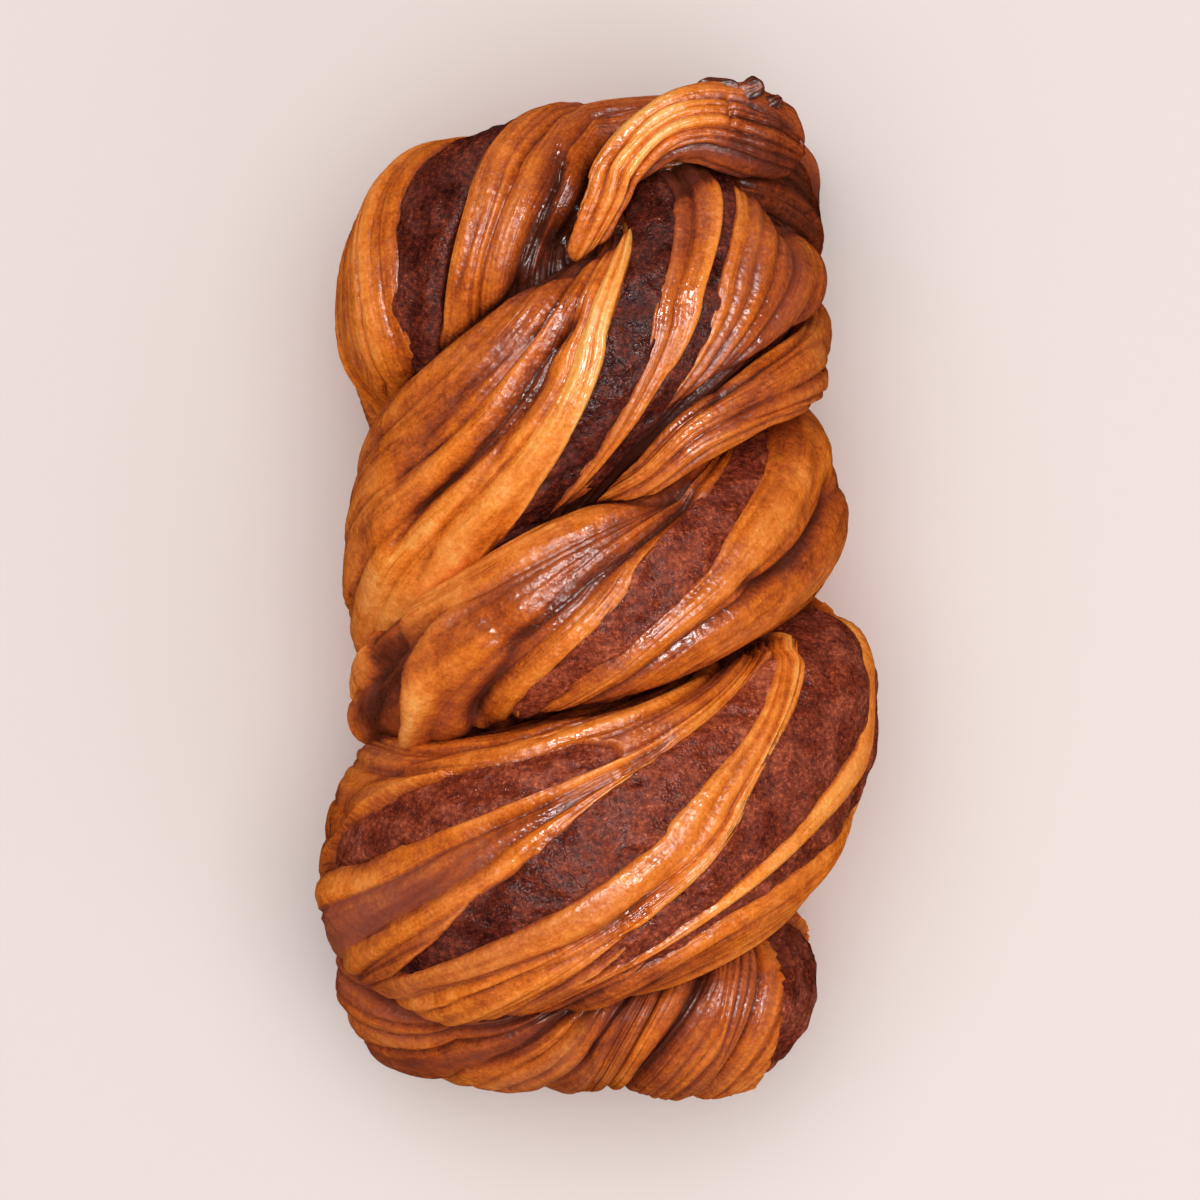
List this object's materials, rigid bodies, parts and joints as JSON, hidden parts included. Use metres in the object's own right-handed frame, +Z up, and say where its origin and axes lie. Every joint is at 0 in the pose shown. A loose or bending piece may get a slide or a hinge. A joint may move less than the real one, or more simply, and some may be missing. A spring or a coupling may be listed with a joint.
{
  "type": "cinnamon babka",
  "caption": "Whole baked babka loaf: thick dough strands twisted over one another, with dark cinnamon filling showing in bands where the layers were cut open, on a flat tin-baked underside.",
  "frame": {"origin": "on the flat underside, under the middle of the loaf's bounding box", "axes": "+Z up, +Y along the loaf towards the end where the last strand is tucked over, +X to the right as seen from above with +Y away from the viewer"},
  "size_m": [0.1256, 0.2276, 0.0927],
  "materials": {
    "dough": "baked crust with a thin syrup gloss",
    "filling": "grainy cinnamon sugar, partly melted"
  },
  "bodies": {
    "root": {"dough": "dough", "filling_1": "filling", "filling_2": "filling", "filling_3": "filling", "filling_4": "filling", "filling_5": "filling", "filling_6": "filling", "filling_7": "filling", "filling_8": "filling", "filling_9": "filling"}
  },
  "joints": []
}
